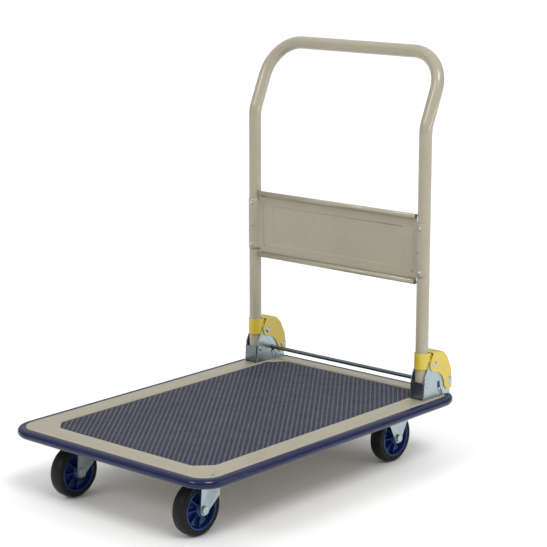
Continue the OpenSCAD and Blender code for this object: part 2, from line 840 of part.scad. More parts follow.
module rim(end, sy) {
    rim_half = tyre_w / 2 - 0.5;
    rib_half = 9;
    color(navy) on_axle(end, sy) {
        rotate_extrude() {
            translate([rim_r - rim_wall, -rim_half]) square([rim_wall, 2 * rim_half]);
            translate([hub_r - 1, -rim_web / 2]) square([rim_r - rim_wall - hub_r + 2, rim_web]);
            translate([bush_r, -hub_l / 2]) square([hub_r - bush_r, hub_l]);
        }
        for (i = [0 : rib_count - 1]) rotate(i * 360 / rib_count)
            translate([hub_r - 1, -rib_t / 2, -rib_half])
                cube([rim_r - rim_wall - hub_r + 2, rib_t, 2 * rib_half]);
    }
}

module front_left_rim() { rim(-1, -1); }
module front_right_rim() { rim(-1, 1); }
module rear_left_rim() { rim(1, -1); }
module rear_right_rim() { rim(1, 1); }

module bush(end, sy) {
    color([0.75, 0.72, 0.62]) on_axle(end, sy) difference() {
        cylinder(r = bush_r, h = hub_l + 0.4, center = true);
        cylinder(r = axle_r + run, h = hub_l + 2, center = true);
    }
}

module front_left_bush() { bush(-1, -1); }
module front_right_bush() { bush(-1, 1); }
module rear_left_bush() { bush(1, -1); }
module rear_right_bush() { bush(1, 1); }

// Bolt with its head outside the cart and its nut inside
module axle(end, sy) {
    color(zinc) on_axle(end, sy) {
        cylinder(r = axle_r, h = 2 * leg_out + 2 * axle_head_h, center = true);
        translate([0, 0, leg_out]) cylinder(r = axle_head_r, h = axle_head_h);
        translate([0, 0, -leg_out - axle_head_h]) cylinder(r = axle_head_r + 1, h = axle_head_h, $fn = 6);
    }
}

module front_left_axle() { axle(-1, -1); }
module front_right_axle() { axle(-1, 1); }
module rear_left_axle() { axle(1, -1); }
module rear_right_axle() { axle(1, 1); }

module caster_bolts() {
    head_h = 4;
    color(zinc) {
        caster_holes(bolt_r, plate_z - 7, plate_top + cross_t + eps);
        for (sx = [-1, 1], sy = [-1, 1], bx = [-1, 1], by = [-1, 1])
            translate([sx * caster_x + bx * bolt_dx / 2, sy * caster_y + by * bolt_dy / 2,
                plate_top + cross_t]) cylinder(r = bolt_hex_r, h = head_h, $fn = 6);
    }
}

module caster_nuts() {
    color(zinc) difference() {
        for (sx = [-1, 1], sy = [-1, 1], bx = [-1, 1], by = [-1, 1])
            translate([sx * caster_x + bx * bolt_dx / 2, sy * caster_y + by * bolt_dy / 2, plate_z - 5])
                cylinder(r = bolt_hex_r, h = 5, $fn = 6);
        caster_holes(bolt_r, plate_z - 7, plate_z + 1);
    }
}

deck_pan();
deck_mat();
bumper();
front_crossmember();
rear_crossmember();
deck_stiffeners();
left_bracket();
right_bracket();
left_front_stop();
right_front_stop();
left_guard();
right_guard();
handle_tube();
handle_panel();
panel_screws();
left_collar();
right_collar();
fold_pins();
rear_rivets();
stop_rivets();
bracket_screws();
lock_rod();
left_lock_arms();
right_lock_arms();
lock_guide_pins();
lock_springs();
front_left_plate();
front_right_plate();
front_left_kingpin();
front_right_kingpin();
front_left_balls();
front_right_balls();
front_left_fork();
front_right_fork();
rear_left_fork();
rear_right_fork();
front_left_tyre();
front_right_tyre();
rear_left_tyre();
rear_right_tyre();
front_left_rim();
front_right_rim();
rear_left_rim();
rear_right_rim();
front_left_bush();
front_right_bush();
rear_left_bush();
rear_right_bush();
front_left_axle();
front_right_axle();
rear_left_axle();
rear_right_axle();
caster_bolts();
caster_nuts();
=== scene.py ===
"""Looks of the folding platform cart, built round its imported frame.

Lengths are in millimetres until a mesh is finished.
"""

import json
import math

import bmesh
import bpy
from mathutils import Matrix, Vector


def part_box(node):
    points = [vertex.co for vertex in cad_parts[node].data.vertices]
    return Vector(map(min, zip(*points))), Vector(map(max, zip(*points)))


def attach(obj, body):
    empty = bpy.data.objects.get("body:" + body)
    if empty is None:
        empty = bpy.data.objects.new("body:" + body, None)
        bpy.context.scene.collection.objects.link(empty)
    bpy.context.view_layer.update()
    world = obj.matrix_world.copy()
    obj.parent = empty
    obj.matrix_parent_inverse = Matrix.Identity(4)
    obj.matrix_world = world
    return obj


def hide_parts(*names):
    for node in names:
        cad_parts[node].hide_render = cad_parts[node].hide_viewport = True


MM = 0.001

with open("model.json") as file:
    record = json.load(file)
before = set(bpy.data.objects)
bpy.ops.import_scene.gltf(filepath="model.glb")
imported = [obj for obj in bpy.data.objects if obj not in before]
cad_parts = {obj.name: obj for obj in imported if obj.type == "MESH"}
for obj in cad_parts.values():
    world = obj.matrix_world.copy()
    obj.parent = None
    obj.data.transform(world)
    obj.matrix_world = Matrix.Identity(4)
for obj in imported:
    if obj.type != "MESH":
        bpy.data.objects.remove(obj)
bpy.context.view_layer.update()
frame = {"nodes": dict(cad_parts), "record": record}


def box_mm(node):
    """Lowest and highest corner of a CAD node, in millimetres."""
    lo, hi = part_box(node)
    return lo / MM, hi / MM


MAT_TOP = box_mm("deck_mat")[1].z

# ---------- materials ----------

class Shader:
    """A Principled material whose colour, roughness and bump come from noise in the object's own space."""

    def __init__(self, name, metallic=0.0, roughness=0.5, coat=0.0, specular=0.5, coat_roughness=0.08):
        self.material = bpy.data.materials.new(name)
        self.material.use_nodes = True
        self.nodes = self.material.node_tree.nodes
        self.links = self.material.node_tree.links
        self.bsdf = self.nodes["Principled BSDF"]
        self.bsdf.inputs["Metallic"].default_value = metallic
        self.bsdf.inputs["Roughness"].default_value = roughness
        self.bsdf.inputs["Coat Weight"].default_value = coat
        self.bsdf.inputs["Coat Roughness"].default_value = coat_roughness
        self.bsdf.inputs["Specular IOR Level"].default_value = specular
        self.space = self.nodes.new("ShaderNodeTexCoord").outputs["Object"]
        self.normal = None

    def noise(self, size_mm, detail=3.0, stretch=(1, 1, 1)):
        """Noise whose features are about size_mm wide."""
        mapping = self.nodes.new("ShaderNodeMapping")
        mapping.inputs["Scale"].default_value = stretch
        self.links.new(self.space, mapping.inputs["Vector"])
        texture = self.nodes.new("ShaderNodeTexNoise")
        texture.inputs["Scale"].default_value = 1 / (size_mm * MM)
        texture.inputs["Detail"].default_value = detail
        self.links.new(mapping.outputs["Vector"], texture.inputs["Vector"])
        return texture.outputs["Fac"]

    def ramp(self, factor, low, high, start=0.3, end=0.7):
        """Colours from low to high as the factor goes from start to end."""
        node = self.nodes.new("ShaderNodeValToRGB")
        for element, place, value in zip(node.color_ramp.elements, (start, end), (low, high)):
            element.position = place
            element.color = (*value, 1)
        self.links.new(factor, node.inputs["Fac"])
        return node.outputs["Color"]

    def mix(self, factor, first, second):
        """Mix of two colour outputs by a factor output."""
        node = self.nodes.new("ShaderNodeMix")
        node.data_type = "RGBA"
        self.links.new(factor, node.inputs["Factor"])
        self.links.new(first, node.inputs["A"])
        self.links.new(second, node.inputs["B"])
        return node.outputs["Result"]

    def color(self, output):
        """Takes the base colour from that output."""
        self.links.new(output, self.bsdf.inputs["Base Color"])

    def rough(self, factor, low, high):
        """Roughness from low to high with the factor."""
        node = self.nodes.new("ShaderNodeMapRange")
        node.inputs["From Min"].default_value = 0.3
        node.inputs["From Max"].default_value = 0.7
        node.inputs["To Min"].default_value = low
        node.inputs["To Max"].default_value = high
        self.links.new(factor, node.inputs["Value"])
        self.links.new(node.outputs["Result"], self.bsdf.inputs["Roughness"])

    def bump(self, height, depth_mm, strength=1.0):
        """Adds relief of that depth on top of what is there."""
        node = self.nodes.new("ShaderNodeBump")
        node.inputs["Distance"].default_value = depth_mm * MM
        node.inputs["Strength"].default_value = strength
        self.links.new(height, node.inputs["Height"])
        if self.normal is not None:
            self.links.new(self.normal, node.inputs["Normal"])
        self.normal = node.outputs["Normal"]
        self.links.new(self.normal, self.bsdf.inputs["Normal"])


def shade(value, factor):
    """A colour made lighter or darker."""
    return tuple(min(1.0, c * factor) for c in value)


def powder_coat(name, tone, roughness=(0.30, 0.42), grime=0.86):
    """Semi-gloss powder coat: faint orange peel, cloudy tone and a little grime."""
    s = Shader(name, coat=0.6, coat_roughness=0.1)
    cloud = s.noise(90, 4)
    fine = s.noise(2.5, 2)
    base = s.ramp(cloud, shade(tone, 0.95), shade(tone, 1.04))
    dirt = s.ramp(s.noise(14, 6), (grime, grime * 0.98, grime * 0.94), (1, 1, 1), 0.24, 0.42)
    blend = s.nodes.new("ShaderNodeMix")
    blend.data_type = "RGBA"
    blend.blend_type = "MULTIPLY"
    blend.inputs["Factor"].default_value = 0.55
    s.links.new(base, blend.inputs["A"])
    s.links.new(dirt, blend.inputs["B"])
    s.color(blend.outputs["Result"])
    s.rough(s.noise(30, 4), *roughness)
    s.bump(fine, 0.05, 0.35)
    return s.material


def zinc_plate(name, tone, roughness=(0.24, 0.42), tint=(1.0, 0.98, 0.92)):
    """Zinc-plated sheet: soft spangle with a faint warm and blue cast, and rolling marks."""
    s = Shader(name, metallic=1.0)
    warm = tuple(a * b for a, b in zip(tone, tint))
    cast = s.ramp(s.noise(22, 3), shade(tone, 0.93), warm)
    spots = s.ramp(s.noise(3.2, 2), shade(tone, 0.86), shade(tone, 1.05))
    s.color(s.mix(s.noise(9, 2), cast, spots))
    s.rough(s.noise(12, 5), *roughness)
    s.bump(s.noise(1.1, 2, (1, 1, 0.12)), 0.02, 0.4)
    return s.material


def moulded(name, tone, roughness=(0.10, 0.2), coat=0.5, specular=0.5):
    """Glossy moulded plastic or vinyl with a slight ripple and a finer grain."""
    s = Shader(name, coat=coat, coat_roughness=0.05, specular=specular)
    s.color(s.ramp(s.noise(60, 3), shade(tone, 0.85), shade(tone, 1.25)))
    s.rough(s.noise(20, 4), *roughness)
    s.bump(s.noise(26, 2), 0.12, 0.25)
    s.bump(s.noise(1.6, 2), 0.02, 0.4)
    return s.material


def ribbed_vinyl(name, low, high, height_mm):
    """Matt vinyl coloured by height: dark in the valleys between the ribs and paler on the rib tops."""
    s = Shader(name, specular=0.35)
    place = s.nodes.new("ShaderNodeSeparateXYZ")
    s.links.new(s.space, place.inputs["Vector"])
    height = s.nodes.new("ShaderNodeMapRange")
    height.inputs["From Min"].default_value = height_mm[0] * MM
    height.inputs["From Max"].default_value = height_mm[1] * MM
    s.links.new(place.outputs["Z"], height.inputs["Value"])
    valley = s.ramp(s.noise(70, 4), shade(low, 0.85), shade(low, 1.2))
    top = s.ramp(s.noise(45, 5), shade(high, 0.9), shade(high, 1.12))
    s.color(s.mix(height.outputs["Result"], valley, top))
    s.rough(s.noise(25, 4), 0.42, 0.6)
    s.bump(s.noise(0.9, 2), 0.03, 0.5)
    return s.material


def rubber(name, tone):
    """Black tyre rubber with a dusty bloom and a fine grain."""
    s = Shader(name, specular=0.2)
    bloom = s.ramp(s.noise(18, 5), tone, shade(tone, 2.6), 0.45, 0.85)
    s.color(bloom)
    s.rough(s.noise(9, 4), 0.38, 0.62)
    s.bump(s.noise(0.8, 2), 0.03, 0.5)
    return s.material


def bright_steel(name, tone, roughness=(0.14, 0.3)):
    """Bright zinc or polished steel with fine scratches."""
    s = Shader(name, metallic=1.0)
    s.color(s.ramp(s.noise(2.5, 3), shade(tone, 0.82), shade(tone, 1.06)))
    s.rough(s.noise(3.5, 4), *roughness)
    s.bump(s.noise(0.5, 2), 0.008, 0.4)
    return s.material


CREAM = powder_coat("cream_coat", (0.335, 0.303, 0.218))
ZINC = zinc_plate("zinc_sheet", (0.40, 0.485, 0.515))
# darker zinc for its own parts, also used as painted shade on the front stops
DARK_ZINC_AND_STOP_SHADE = zinc_plate("dark_zinc", (0.16, 0.19, 0.21), (0.2, 0.34))
YELLOW = powder_coat("yellow_coat", (0.56, 0.42, 0.026), (0.24, 0.36), 0.9)
BUMPER_VINYL = moulded("bumper_vinyl", (0.0025, 0.007, 0.042), (0.12, 0.22), 0.2, 0.25)
MAT_VINYL = ribbed_vinyl("mat_vinyl", (0.0115, 0.0125, 0.033), (0.076, 0.079, 0.108),
                         (MAT_TOP - 1.2, MAT_TOP - 0.1))
RUBBER = rubber("tyre_rubber", (0.006, 0.006, 0.0055))
RIM_PLASTIC = moulded("rim_plastic", (0.005, 0.022, 0.12), (0.14, 0.24), 0.15, 0.3)
FASTENER = bright_steel("bright_fastener", (0.50, 0.53, 0.56), (0.26, 0.4))
BALL_STEEL = bright_steel("ball_steel", (0.72, 0.72, 0.75), (0.06, 0.14))
BUSH_PLASTIC = moulded("bush_acetal", (0.62, 0.58, 0.46), (0.3, 0.42), 0.0)

SLOT_MATERIAL = {
    "cream_paint": CREAM, "zinc": ZINC, "dark_zinc": DARK_ZINC_AND_STOP_SHADE, "yellow_paint": YELLOW,
    "bumper_vinyl": BUMPER_VINYL, "mat_vinyl": MAT_VINYL, "tyre_rubber": RUBBER, "rim_plastic": RIM_PLASTIC,
    "fastener": FASTENER, "ball_steel": BALL_STEEL, "bush_plastic": BUSH_PLASTIC,
}
NODE_SLOT = {part["node"]: part["material_slot"] for part in frame["record"]["subparts"]}
NODE_BODY = {node: body for body, nodes in frame["record"]["behaviour"]["bodies"].items() for node in nodes}


# ---------- mesh helpers ----------

SHARP_EDGE = 34
WELD_GAP = 0.002
FLAT_ANGLE = 0.6


def finish_mesh(name, bm, material, sharp=32):
    """A new object from a bmesh in millimetres, smooth but for edges sharper than that angle."""
    bmesh.ops.recalc_face_normals(bm, faces=bm.faces)
    bm.transform(Matrix.Scale(MM, 4))
    mesh = bpy.data.meshes.new(name)
    bm.to_mesh(mesh)
    bm.free()
    mesh.materials.append(material)
    mesh.shade_smooth()
    mesh.set_sharp_from_angle(angle=math.radians(sharp))
    obj = bpy.data.objects.new(name, mesh)
    bpy.context.scene.collection.objects.link(obj)
    return obj


def stand_for(obj, *nodes):
    """The piece takes the place and body of CAD nodes, which it hides."""
    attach(obj, NODE_BODY[nodes[0]])
    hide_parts(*nodes)
    return obj


def bevel(obj, width_mm, segments):
    """Rounds an object's sharp edges."""
    modifier = obj.modifiers.new("Round", "BEVEL")
    modifier.width = width_mm * MM
    modifier.segments = segments
    modifier.limit_method = "ANGLE"
    modifier.angle_limit = math.radians(SHARP_EDGE)
    modifier.harden_normals = True
    modifier.use_clamp_overlap = True


def rounded_copy(node, name, width_mm, segments, material):
    """A copy of a CAD node with its facets cleaned up and its edges rounded, which stands for it."""
    bm = bmesh.new()
    bm.from_mesh(frame["nodes"][node].data)
    bm.transform(Matrix.Scale(1 / MM, 4))
    bmesh.ops.remove_doubles(bm, verts=bm.verts, dist=WELD_GAP)
    bmesh.ops.dissolve_limit(bm, angle_limit=math.radians(FLAT_ANGLE), verts=bm.verts, edges=bm.edges)
    obj = finish_mesh(name, bm, material)
    bevel(obj, width_mm, segments)
    return stand_for(obj, node)


def loft(bm, rings, closed=False, cap=True):
    """Quads between rings of points, with the ends capped or joined."""
    loops = [[bm.verts.new(point) for point in ring] for ring in rings]
    pairs = list(zip(loops, loops[1:]))
    if closed:
        pairs.append((loops[-1], loops[0]))
    for first, second in pairs:
        count = len(first)
        for i in range(count):
            j = (i + 1) % count
            bm.faces.new((first[i], first[j], second[j], second[i]))
    if cap and not closed:
        bm.faces.new(loops[0])
        bm.faces.new(loops[-1][::-1])
    return loops


def lathe(bm, profile, steps, matrix):
    """Turns a closed (radius, height) profile about Z, and places it with the matrix."""
    rings = []
    for i in range(steps):
        turn = 2 * math.pi * i / steps
        rings.append([matrix @ Vector((r * math.cos(turn), r * math.sin(turn), h)) for r, h in profile])
    loft(bm, rings, closed=True)


def arc(cx, cy, r, start, end, steps):
    """Points on an arc, angles in degrees, both ends included."""
    turns = [math.radians(start + (end - start) * i / steps) for i in range(steps + 1)]
    return [(cx + r * math.cos(t), cy + r * math.sin(t)) for t in turns]


CORNER_STEPS = 12


def round_outline(length, width, radius, x=0.0, offset=0.0):
    """Outline of a rectangle with round corners, grown by the offset."""
    r = radius + offset
    points = []
    for quarter, (sx, sy) in enumerate(((1, 1), (-1, 1), (-1, -1), (1, -1))):
        cx = x + sx * (length / 2 - radius)
        cy = sy * (width / 2 - radius)
        points += arc(cx, cy, r, 90 * quarter, 90 * quarter + 90, CORNER_STEPS - 1)
    return points


def cut_outline(length, width, cut, soften, x=0.0, offset=0.0):
    """Outline of a rectangle with cut corners whose ends are softened, grown by the offset."""
    half_l = length / 2 + offset
    half_w = width / 2 + offset
    c = cut + offset * (2 - math.sqrt(2))
    r = max(soften + offset, 0.3)
    run = r * math.tan(math.radians(22.5))
    steps = CORNER_STEPS // 2 - 1
    points = []
    for quarter, (sx, sy) in enumerate(((1, 1), (-1, 1), (-1, -1), (1, -1))):
        near_x = (sx * (half_l - r), sy * (half_w - c - run))
        near_y = (sx * (half_l - c - run), sy * (half_w - r))
        first, second = (near_x, near_y) if sx * sy > 0 else (near_y, near_x)
        start = 90 * quarter
        points += [(x + px, py) for px, py in arc(*first, r, start, start + 45, steps)]
        points += [(x + px, py) for px, py in arc(*second, r, start + 45, start + 90, steps)]
    return points


def at_height(outline, z):
    """The outline's points at that height."""
    return [(x, y, z) for x, y in outline]


def sweep(bm, path, radii):
    """A round tube along a path; radii are (place on the path, radius) rings, in order."""
    steps = 40
    rings = []
    side = Vector((0, 1, 0))
    for index, radius in radii:
        here = Vector(path[index])
        before = Vector(path[max(index - 1, 0)])
        after = Vector(path[min(index + 1, len(path) - 1)])
        along = (after - before).normalized()
        across = along.cross(side)
        if across.length < 0.2:
            across = along.cross(Vector((1, 0, 0)))
        across.normalize()
        rings.append((here, along, across, radius))
    # carry the first ring's direction along the path so that the tube doesn't twist
    built = []
    carried = rings[0][2]
    for here, along, _, radius in rings:
        carried = (carried - along * carried.dot(along)).normalized()
        other = along.cross(carried)
        built.append([here + radius * (carried * math.cos(t) + other * math.sin(t))
                      for t in (2 * math.pi * i / steps for i in range(steps))])
    loft(bm, built)


# ---------- deck ----------

DECK_LO, DECK_HI = box_mm("deck_pan")
MAT_LO, MAT_HI = box_mm("deck_mat")
DECK_L = DECK_HI.x - DECK_LO.x
DECK_W = DECK_HI.y - DECK_LO.y
DECK_TOP = DECK_HI.z
MAT_L = MAT_HI.x - MAT_LO.x
MAT_W = MAT_HI.y - MAT_LO.y
MAT_X = (MAT_HI.x + MAT_LO.x) / 2
DECK_CORNER = 38
MAT_CUT = 28
SHEET = 1.6
MAT_GAP = 0.4
MAT_SOFTEN = 9
EDGE_R = 3.2
# corners cut inside the sheet's bends and on the skirt's lower edge, and the flat ring beside the rim
POCKET_BEND, SKIRT_BEND = 0.6, 2
SKIRT_ROUND_IN, SKIRT_ROUND_OUT = 0.3, 0.4
FLAT_RING = 0.5
# raised lip round the pocket: distance out from the mat, height over the border
POCKET_LIP = [(9.0, 0), (8.5, 0), (6.6, 0.1), (5.2, 0.38), (4.0, 0.5), (2.6, 0.5), (1.5, 0.28),
              (0.8, -0.25), (MAT_GAP, -1.2)]
DRAIN_X, DRAIN_Y, DRAIN_R = 36.3, 14.3, 1.9


def deck_outline(offset):
    """The deck's edge in plan, grown by the offset."""
    return round_outline(DECK_L, DECK_W, DECK_CORNER, offset=offset)


def pocket_outline(offset):
    """The mat's edge in plan, grown by the offset."""
    return cut_outline(MAT_L, MAT_W, MAT_CUT, MAT_SOFTEN, MAT_X, offset)


def make_deck():
    """Pressed tray with a rounded rim, a raised lip round the pocket and a hollow underside."""
    top = DECK_TOP
    floor = MAT_LO.z
    rings = [at_height(pocket_outline(MAT_GAP + SHEET), floor - SHEET),
             at_height(pocket_outline(MAT_GAP + SHEET), top - SHEET - POCKET_BEND),
             at_height(pocket_outline(MAT_GAP + SHEET + POCKET_BEND), top - SHEET),
             at_height(deck_outline(-SHEET - SKIRT_BEND), top - SHEET),
             at_height(deck_outline(-SHEET), top - SHEET - SKIRT_BEND),
             at_height(deck_outline(-SHEET), DECK_LO.z + SKIRT_ROUND_IN),
             at_height(deck_outline(-SHEET + SKIRT_ROUND_IN), DECK_LO.z),
             at_height(deck_outline(-SKIRT_ROUND_OUT), DECK_LO.z),
             at_height(deck_outline(0), DECK_LO.z + SKIRT_ROUND_OUT)]
    for x, z in arc(-EDGE_R, top - EDGE_R, EDGE_R, 0, 90, 6):
        rings.append(at_height(deck_outline(x), z))
    # a narrow flat ring at each side keeps the wide border's shading flat
    rings.append(at_height(deck_outline(-EDGE_R - FLAT_RING), top))
    for x, z in POCKET_LIP:
        rings.append(at_height(pocket_outline(x), top + z))
    rings.append(at_height(pocket_outline(MAT_GAP), floor))
    bm = bmesh.new()
    loft(bm, rings)
    deck = finish_mesh("deck_tray", bm, CREAM, 40)
    drill(deck, DECK_LO.x + DRAIN_X, DECK_LO.y + DRAIN_Y, DRAIN_R)
    return stand_for(deck, "deck_pan")


def drill(obj, x, y, radius):
    """A round hole down through the deck's sheet."""
    bm = bmesh.new()
    bmesh.ops.create_cone(bm, cap_ends=True, segments=24, radius1=radius, radius2=radius, depth=10,
                          matrix=Matrix.Translation((x, y, DECK_TOP)))
    cutter = finish_mesh("cutter", bm, CREAM)
    modifier = obj.modifiers.new("Holes", "BOOLEAN")
    modifier.operation = "DIFFERENCE"
    modifier.solver = "EXACT"
    modifier.object = cutter
    bpy.context.view_layer.objects.active = obj
    bpy.ops.object.modifier_apply(modifier="Holes")
    bpy.data.objects.remove(cutter)


RIB_ANGLE = 37.5
RIB_PITCH = 9.0
RIB_PROFILE = [(-2.2, 0), (-1.75, 0.72), (-0.9, 1.08), (0, 1.15), (0.9, 1.08), (1.75, 0.72), (2.2, 0)]
RIB_SINK = 0.02
RIB_EDGE_GAP, PIP_EDGE_GAP = 0.8, 3.2
MAT_EDGE_ROUND = 0.5
PIP_PITCH = 6.0
PIP_R, PIP_RISE, PIP_SIDES = 1.45, 0.62, 8
PIP_SINK = 0.05
# a pip's shoulder, as shares of its radius and of its rise
SHOULDER_R, SHOULDER_RISE = 0.72, 0.7
MAT_SKIN = MAT_TOP - 1.1
SHORTEST_RIB = 4


def span_in_outline(outline, point, along):
    """Where a line enters and leaves a convex outline, as distances along it, or None."""
    low, high = -1e9, 1e9
    count = len(outline)
    for i in range(count):
        a = Vector(outline[i])
        edge = Vector(outline[(i + 1) % count]) - a
        inward = Vector((-edge.y, edge.x))
        if inward.length < 1e-6:
            continue
        rate = inward.dot(along)
        gap = inward.dot(point - a)
        if abs(rate) < 1e-9:
            if gap < 0:
                return None
            continue
        t = -gap / rate
        if rate > 0:
            low = max(low, t)
        else:
            high = min(high, t)
    return (low, high) if high - low > SHORTEST_RIB else None


def make_mat():
    """Vinyl mat with slanting ribs and a row of round pips in each valley."""
    bm = bmesh.new()
    loft(bm, [at_height(pocket_outline(0), MAT_LO.z),
              at_height(pocket_outline(0), MAT_SKIN - MAT_EDGE_ROUND),
              at_height(pocket_outline(-MAT_EDGE_ROUND), MAT_SKIN)])
    edge = pocket_outline(-RIB_EDGE_GAP)
    centre = Vector((MAT_X, 0))
    along = Vector((math.cos(math.radians(RIB_ANGLE)), math.sin(math.radians(RIB_ANGLE))))
    across = Vector((-along.y, along.x))
    half_count = int((MAT_L + MAT_W) / 2 / RIB_PITCH)
    for k in range(-half_count, half_count + 1):
        rib(bm, edge, centre + across * (k * RIB_PITCH), along, across)
        pips(bm, centre + across * ((k + 0.5) * RIB_PITCH), along)
    mat = finish_mesh("deck_mat_ribbed", bm, MAT_VINYL, 50)
    return stand_for(mat, "deck_mat")


def rib(bm, edge, start, along, across):
    """One rib, whose ends follow the mat's edge."""
    ends = []
    for u, h in RIB_PROFILE:
        span = span_in_outline(edge, start + across * u, along)
        if span is None:
            return
        ends.append((start + across * u, span, h))
    low = [bm.verts.new((*(p + along * (s[0] + h)), MAT_SKIN + h - RIB_SINK)) for p, s, h in ends]
    high = [bm.verts.new((*(p + along * (s[1] - h)), MAT_SKIN + h - RIB_SINK)) for p, s, h in ends]
    for i in range(len(ends) - 1):
        bm.faces.new((low[i], low[i + 1], high[i + 1], high[i]))
    bm.faces.new((low[0], high[0], high[-1], low[-1]))
    bm.faces.new(low)
    bm.faces.new(high[::-1])


def pips(bm, start, along):
    """A row of low domes along a valley."""
    span = span_in_outline(pocket_outline(-PIP_EDGE_GAP), start, along)
    if span is None:
        return
    turns = [2 * math.pi * j / PIP_SIDES for j in range(PIP_SIDES)]
    count = int((span[1] - span[0]) / PIP_PITCH)
    for i in range(count + 1):
        centre = start + along * (span[0] + i * PIP_PITCH)
        x, y = centre
        foot, shoulder = [
            [bm.verts.new((x + r * math.cos(t), y + r * math.sin(t), MAT_SKIN + h)) for t in turns]
            for r, h in ((PIP_R, -PIP_SINK), (SHOULDER_R * PIP_R, SHOULDER_RISE * PIP_RISE))]
        top = bm.verts.new((x, y, MAT_SKIN + PIP_RISE))
        for j in range(PIP_SIDES):
            k = (j + 1) % PIP_SIDES
            bm.faces.new((foot[j], foot[k], shoulder[k], shoulder[j]))
            bm.faces.new((shoulder[j], shoulder[k], top))
        bm.faces.new(foot[::-1])


# top of the bumper: distance out from the deck, height over the bumper's top
BUMPER_LIP = [(0.0, -1.2), (0.5, -0.15), (1.4, 0), (4.6, 0), (5.3, -0.35), (5.9, -0.1)]
# degrees round the bumper's nose, from the lip down to the foot
NOSE_ANGLES = range(78, -91, -8)
FOOT_SETBACK, FOOT_RISE = 2, 0.6


def make_bumper():
    """Vinyl bumper: flat top lip, a crease, a round nose and a flat foot."""
    lo, hi = box_mm("bumper")
    out = hi.x - DECK_HI.x
    r = (hi.z - lo.z) / 2
    mid = (hi.z + lo.z) / 2
    nose_x = out - r
    section = [(x, hi.z + z) for x, z in BUMPER_LIP]
    section += [(nose_x + r * math.cos(math.radians(a)), mid + r * math.sin(math.radians(a)))
                for a in NOSE_ANGLES]
    section += [(nose_x - FOOT_SETBACK, lo.z), (0.0, lo.z + FOOT_RISE)]
    bm = bmesh.new()
    loft(bm, [at_height(deck_outline(x), z) for x, z in section], closed=True)
    return stand_for(finish_mesh("bumper_strip", bm, BUMPER_VINYL, 50), "bumper")


# ---------- handle ----------

TUBE_R = 12.7
TUBE_WALL = 1.4
LEAN = math.radians(24)
KNEE_R, TOP_CORNER_R = 60, 75
KNEE_STEPS, TOP_STEPS = 8, 16


def make_handle_tube():
    """Bent tube, open at its two ends."""
    lo, hi = box_mm("handle_tube")
    tube_x, bar_x = lo.x + TUBE_R, hi.x - TUBE_R
    tube_y = hi.y - TUBE_R
    bar_z = hi.z - TUBE_R
    knee_z = bar_z - (bar_x - tube_x) / math.tan(LEAN)
    slope = Vector((math.sin(LEAN), 0, math.cos(LEAN)))
    cut = KNEE_R * math.tan(LEAN / 2)
    path = [Vector((tube_x, tube_y, lo.z + rise)) for rise in (0, 1, 30)]
    for i in range(KNEE_STEPS + 1):
        a = LEAN * i / KNEE_STEPS
        path.append(Vector((tube_x + KNEE_R * (1 - math.cos(a)), tube_y,
                            knee_z - cut + KNEE_R * math.sin(a))))
    slope_l = (bar_z - knee_z) / math.cos(LEAN)
    centre = Vector((tube_x, tube_y - TOP_CORNER_R, knee_z)) + slope * (slope_l - TOP_CORNER_R)
    for i in range(TOP_STEPS + 1):
        a = math.radians(90) * i / TOP_STEPS
        sideways = Vector((0, TOP_CORNER_R * math.cos(a), 0))
        path.append(centre + sideways + slope * TOP_CORNER_R * math.sin(a))
    path += [Vector((p.x, -p.y, p.z)) for p in path[::-1]]
    last = len(path) - 1
    bore = TUBE_R - TUBE_WALL
    outside = [(i, TUBE_R) for i in range(last + 1)]
    radii = [(2, bore), (0, bore)] + outside + [(last, bore), (last - 2, bore)]
    bm = bmesh.new()
    sweep(bm, path, radii)
    return stand_for(finish_mesh("handle_tube_bent", bm, CREAM, 60), "handle_tube")


# ---------- handle panel ----------

PANEL_SHEET = 1.2
WRAP_MEAN = TUBE_R + PANEL_SHEET / 2
WRAP_OUT, WRAP_IN = 54, 65
WRAP_HALF = 53
WRAP_CORNER = 9
FILLET_R = WRAP_MEAN * math.cos(math.radians(WRAP_IN)) / (1 - math.cos(math.radians(WRAP_IN)))
WRAP_STEPS, FILLET_STEPS = 30, 10
HEM_R = 4.4
HEM_TURN = 305
HEM_STEPS = 22
HEM_TUCK = 0.4
HEM_TUBE_GAP = 3
PRESS_INSET, PRESS_DEPTH, PRESS_CORNER = 28, 1.5, 5
PRESS_SLOPE = 2.2
BEAD_INSET, BEAD_HALF, BEAD_RISE = 6, 3.2, 1.7
BEAD_FADE = (42, 48)
# the round mark at mid height and the seats of the screws
MARK_OFFSET, MARK_R, MARK_RISE = 4, 5.5, 1.3
SEAT_R, SEAT_FOOT_R, SEAT_RISE = 5.0, 6.6, 0.5
ROW_STEP, COLUMN_STEP = 4, 5
ROW_REACH = 5.6
SCREW_HEAD_R = 3.8


def fine_steps(low, high, coarse, fine_places, fine_reach=4.0, fine=0.8):
    """Places from low to high, coarse but for the stretches round the fine places."""
    places = {low, high}
    count = math.ceil((high - low) / coarse)
    places.update(low + (high - low) * i / count for i in range(count + 1))
    reach = int(fine_reach / fine)
    for centre in fine_places:
        places.update(centre + i * fine for i in range(-reach, reach + 1))
    kept = []
    for place in sorted(p for p in places if low <= p <= high):
        if not kept or place - kept[-1] > 0.3:
            kept.append(place)
    kept[-1] = high
    return kept


def smooth_step(low, high, value):
    """0 below low, 1 above high and a smooth rise between."""
    t = min(max((value - low) / (high - low), 0), 1)
    return t * t * (3 - 2 * t)


